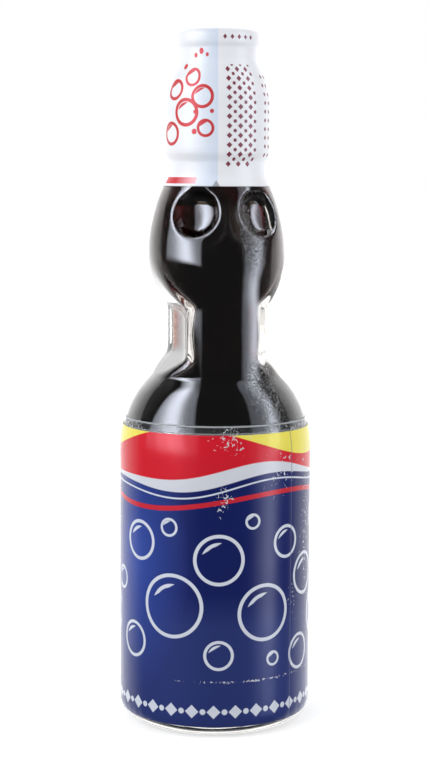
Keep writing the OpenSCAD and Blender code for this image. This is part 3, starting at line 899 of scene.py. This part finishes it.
def white_paper():
    material, tree, output = new_material("white paper")
    paths = add(tree, "LightPath").outputs
    place = add(tree, "TexCoord").outputs["Object"]
    away = add(tree, "VectorMath", {"operation": "LENGTH"}, _0=place).outputs["Value"]
    level = calc(tree, "MULTIPLY_ADD", ramp_up(tree, away, 0.15, 0.9), 0.4, 0.6)
    behind = ramp_up(tree, calc(tree, "DIVIDE", how_far(tree, place, ahead), away), -0.3, 0.25)
    lit = calc(tree, "MULTIPLY_ADD", behind, 0.9, 0.1)
    seen = largest(tree, paths["Is Camera Ray"], product(tree, paths["Is Transmission Ray"], lit))
    diffuse = add(tree, "BsdfDiffuse", Color=(0.8, 0.8, 0.8, 1))
    glow = add(tree, "Emission", Strength=product(tree, seen, level))
    paper = add(tree, "AddShader", _0=diffuse.outputs[0], _1=glow.outputs[0])
    mirrored = calc(tree, "GREATER_THAN", paths["Is Glossy Ray"], paths["Is Transmission Ray"])
    both = add(tree, "MixShader", _0=mirrored, _1=paper.outputs[0],
               _2=add(tree, "BsdfTransparent").outputs[0])
    fill(tree, output.inputs["Surface"], both.outputs[0])
    return material


bpy.ops.object.select_all(action="DESELECT")
bpy.ops.mesh.primitive_circle_add(vertices=96, radius=3.0, fill_type="NGON", location=(0, 0, 0))
floor = bpy.context.object
floor.name = "studio_floor"
dress(floor, white_paper())

# %% [markdown]
# ## The world and its two windows of light
# The world is white behind the bottle, where clear glass lets it through, and dark on the
# camera's side, which gives clear glass its dark edges. The black glass mirrors two tall soft
# windows of light, and their shapes draw the form of the bottle. They are painted into the
# world by direction, for mirrored rays only, so that they can be as bright as in the photograph
# while the lamps stay at a plain level. Angles are in degrees from the camera's side, and
# heights in degrees over the horizon.

# %% The world
def window_of_light(tree, side, angle, height, core, lean, near, far, base, peak, front, back, low, top):
    """One tall window. Its bright core leans back with height and fades to both sides, near and
    far. Its front edge bends back with height, its back edge leans, and its foot dips in front."""
    a = product(tree, angle, float(side))
    off = calc(tree, "SUBTRACT", a, calc(tree, "MULTIPLY_ADD", height, lean, core))
    fades = []
    for width, sign in ((near, -1.0), (far, 1.0)):
        part = calc(tree, "DIVIDE", largest(tree, product(tree, off, sign), 0.0), width)
        fades.append(product(tree, part, part))
    bell = calc(tree, "EXPONENT", product(tree, calc(tree, "ADD", *fades), -1.0))
    up = largest(tree, calc(tree, "DIVIDE", height, 66.0), 0.0)
    front_edge = calc(tree, "MULTIPLY_ADD", product(tree, up, up), 18.0, front)
    back_edge = calc(tree, "MULTIPLY_ADD", height, back[1], back[0])
    inward = calc(tree, "DIVIDE", calc(tree, "SUBTRACT", 93.0, a), 67.0)
    dip = calc(tree, "POWER", largest(tree, inward, 0.0), 2.2)
    low_edge = calc(tree, "MULTIPLY_ADD", dip, low[1], low[0])
    crown = calc(tree, "SUBTRACT", a, 54.0)
    top_edge = calc(tree, "MULTIPLY_ADD", product(tree, crown, crown), -0.012, top)
    lit = calc(tree, "MULTIPLY_ADD", bell, peak, base)
    for higher, lower, soft in ((a, front_edge, 2.5), (back_edge, a, 2.5), (height, low_edge, 1.5),
                                (top_edge, height, 4.0)):
        lit = product(tree, lit, ramp_up(tree, calc(tree, "SUBTRACT", higher, lower), -soft, soft))
    return lit


world = bpy.data.worlds.new("studio")
bpy.context.scene.world = world
world.use_nodes = True
tree = world.node_tree
tree.nodes.clear()
output = tree.nodes.new("ShaderNodeOutputWorld")
direction = add(tree, "TexCoord").outputs["Generated"]
angle = calc(tree, "DEGREES", calc(tree, "ARCTAN2", how_far(tree, direction, to_right),
                                   how_far(tree, direction, -ahead)))
height = calc(tree, "DEGREES", calc(tree, "ARCSINE", how_far(tree, direction, (0, 0, 1))))
outward = calc(tree, "ABSOLUTE", angle)
left_window = window_of_light(tree, -1, angle, height, core=50.0, lean=0.38, near=13.0, far=19.0, base=3.8,
                              peak=17.0, front=25.0, back=(91.0, 0.0), low=(-1.0, -4.0), top=66.0)
right_window = window_of_light(tree, 1, angle, height, core=75.0, lean=0.44, near=12.0, far=7.0, base=2.0,
                               peak=10.5, front=47.0, back=(86.0, 0.40), low=(-16.0, 0.0), top=100.0)

# The backdrop starts further back where it is high, and on the left more so.
tilt = calc(tree, "MULTIPLY_ADD", calc(tree, "LESS_THAN", angle, 0.0), 0.16, 0.44)
behind = calc(tree, "SUBTRACT", outward, product(tree, largest(tree, height, 0.0), tilt))
backdrop = calc(tree, "ADD", product(tree, ramp_up(tree, behind, 103.0, 107.0), 0.9),
                product(tree, ramp_up(tree, behind, 107.0, 130.0), 0.8))
overhead = product(tree, ramp_up(tree, height, 42.0, 50.0), ramp_up(tree, outward, 100.0, 112.0))

paths = add(tree, "LightPath").outputs
glossy, through, seen = (paths[kind] for kind in ("Is Glossy Ray", "Is Transmission Ray", "Is Camera Ray"))
room = calc(tree, "MULTIPLY_ADD", ramp_up(tree, outward, 95.0, 140.0), 0.94, 0.06)
shown = largest(tree, seen, product(tree, through, room))
both_windows = calc(tree, "ADD", left_window, right_window)
mirror = calc(tree, "ADD", both_windows,
              calc(tree, "ADD", backdrop, calc(tree, "MULTIPLY_ADD", overhead, 1.2, 0.16)))
soft = product(tree, calc(tree, "SUBTRACT", 1.0, glossy), 0.20)
unseen = product(tree, calc(tree, "SUBTRACT", 1.0, largest(tree, seen, through)),
                 calc(tree, "MULTIPLY_ADD", glossy, mirror, soft))
in_window = product(tree, glossy, ramp_up(tree, both_windows, 0.0, 1.5))
tint = mix_colour(tree, in_window, (1, 1, 1, 1), (0.84, 0.88, 1.0, 1))
background = add(tree, "Background", Color=tint, Strength=calc(tree, "ADD", shown, unseen))
fill(tree, output.inputs["Surface"], background.outputs[0])

# %% [markdown]
# ## The lamps
# Two tall soft lamps light the films from the same sides as the windows, and two wide ones
# light their edges from behind. The world gives the mirrored light, so a lamp does not.

# %% The lamps
def softbox(name, azimuth, distance, height, width, tall, power, aim=120):
    """A tall soft lamp. Its azimuth is counted from the camera's side, to the right, and it is
    aimed at a height on the bottle's axis, in millimetres. All else is in metres and watts."""
    angle = FRONT - BOTTLE_TURN + math.radians(azimuth)
    data = bpy.data.lights.new(name, "AREA")
    data.shape = "RECTANGLE"
    data.size, data.size_y = width, tall
    data.energy = power
    data.color = (0.97, 0.98, 1.0)
    lamp = bpy.data.objects.new(name, data)
    lamp.location = (distance * math.cos(angle), distance * math.sin(angle), height)
    facing = (Vector((0, 0, aim * MM)) - lamp.location).to_track_quat("-Z", "Y").to_matrix().to_4x4()
    lamp.matrix_world = Matrix.Translation(lamp.location) @ facing
    lamp.visible_glossy = False
    bpy.context.scene.collection.objects.link(lamp)
    print(name, "radiance:", round(power / (math.pi * width * tall), 2))


softbox("left_softbox", -56.5, distance=0.5, height=0.46, width=0.61, tall=0.78, power=3.6, aim=460)
softbox("right_softbox", 68, distance=0.45, height=0.40, width=0.36, tall=0.78, power=1.9, aim=400)
for name, azimuth in (("left_rim", -140), ("right_rim", 140)):
    softbox(name, azimuth, distance=0.9, height=0.5, width=1.0, tall=1.0, power=2.0)
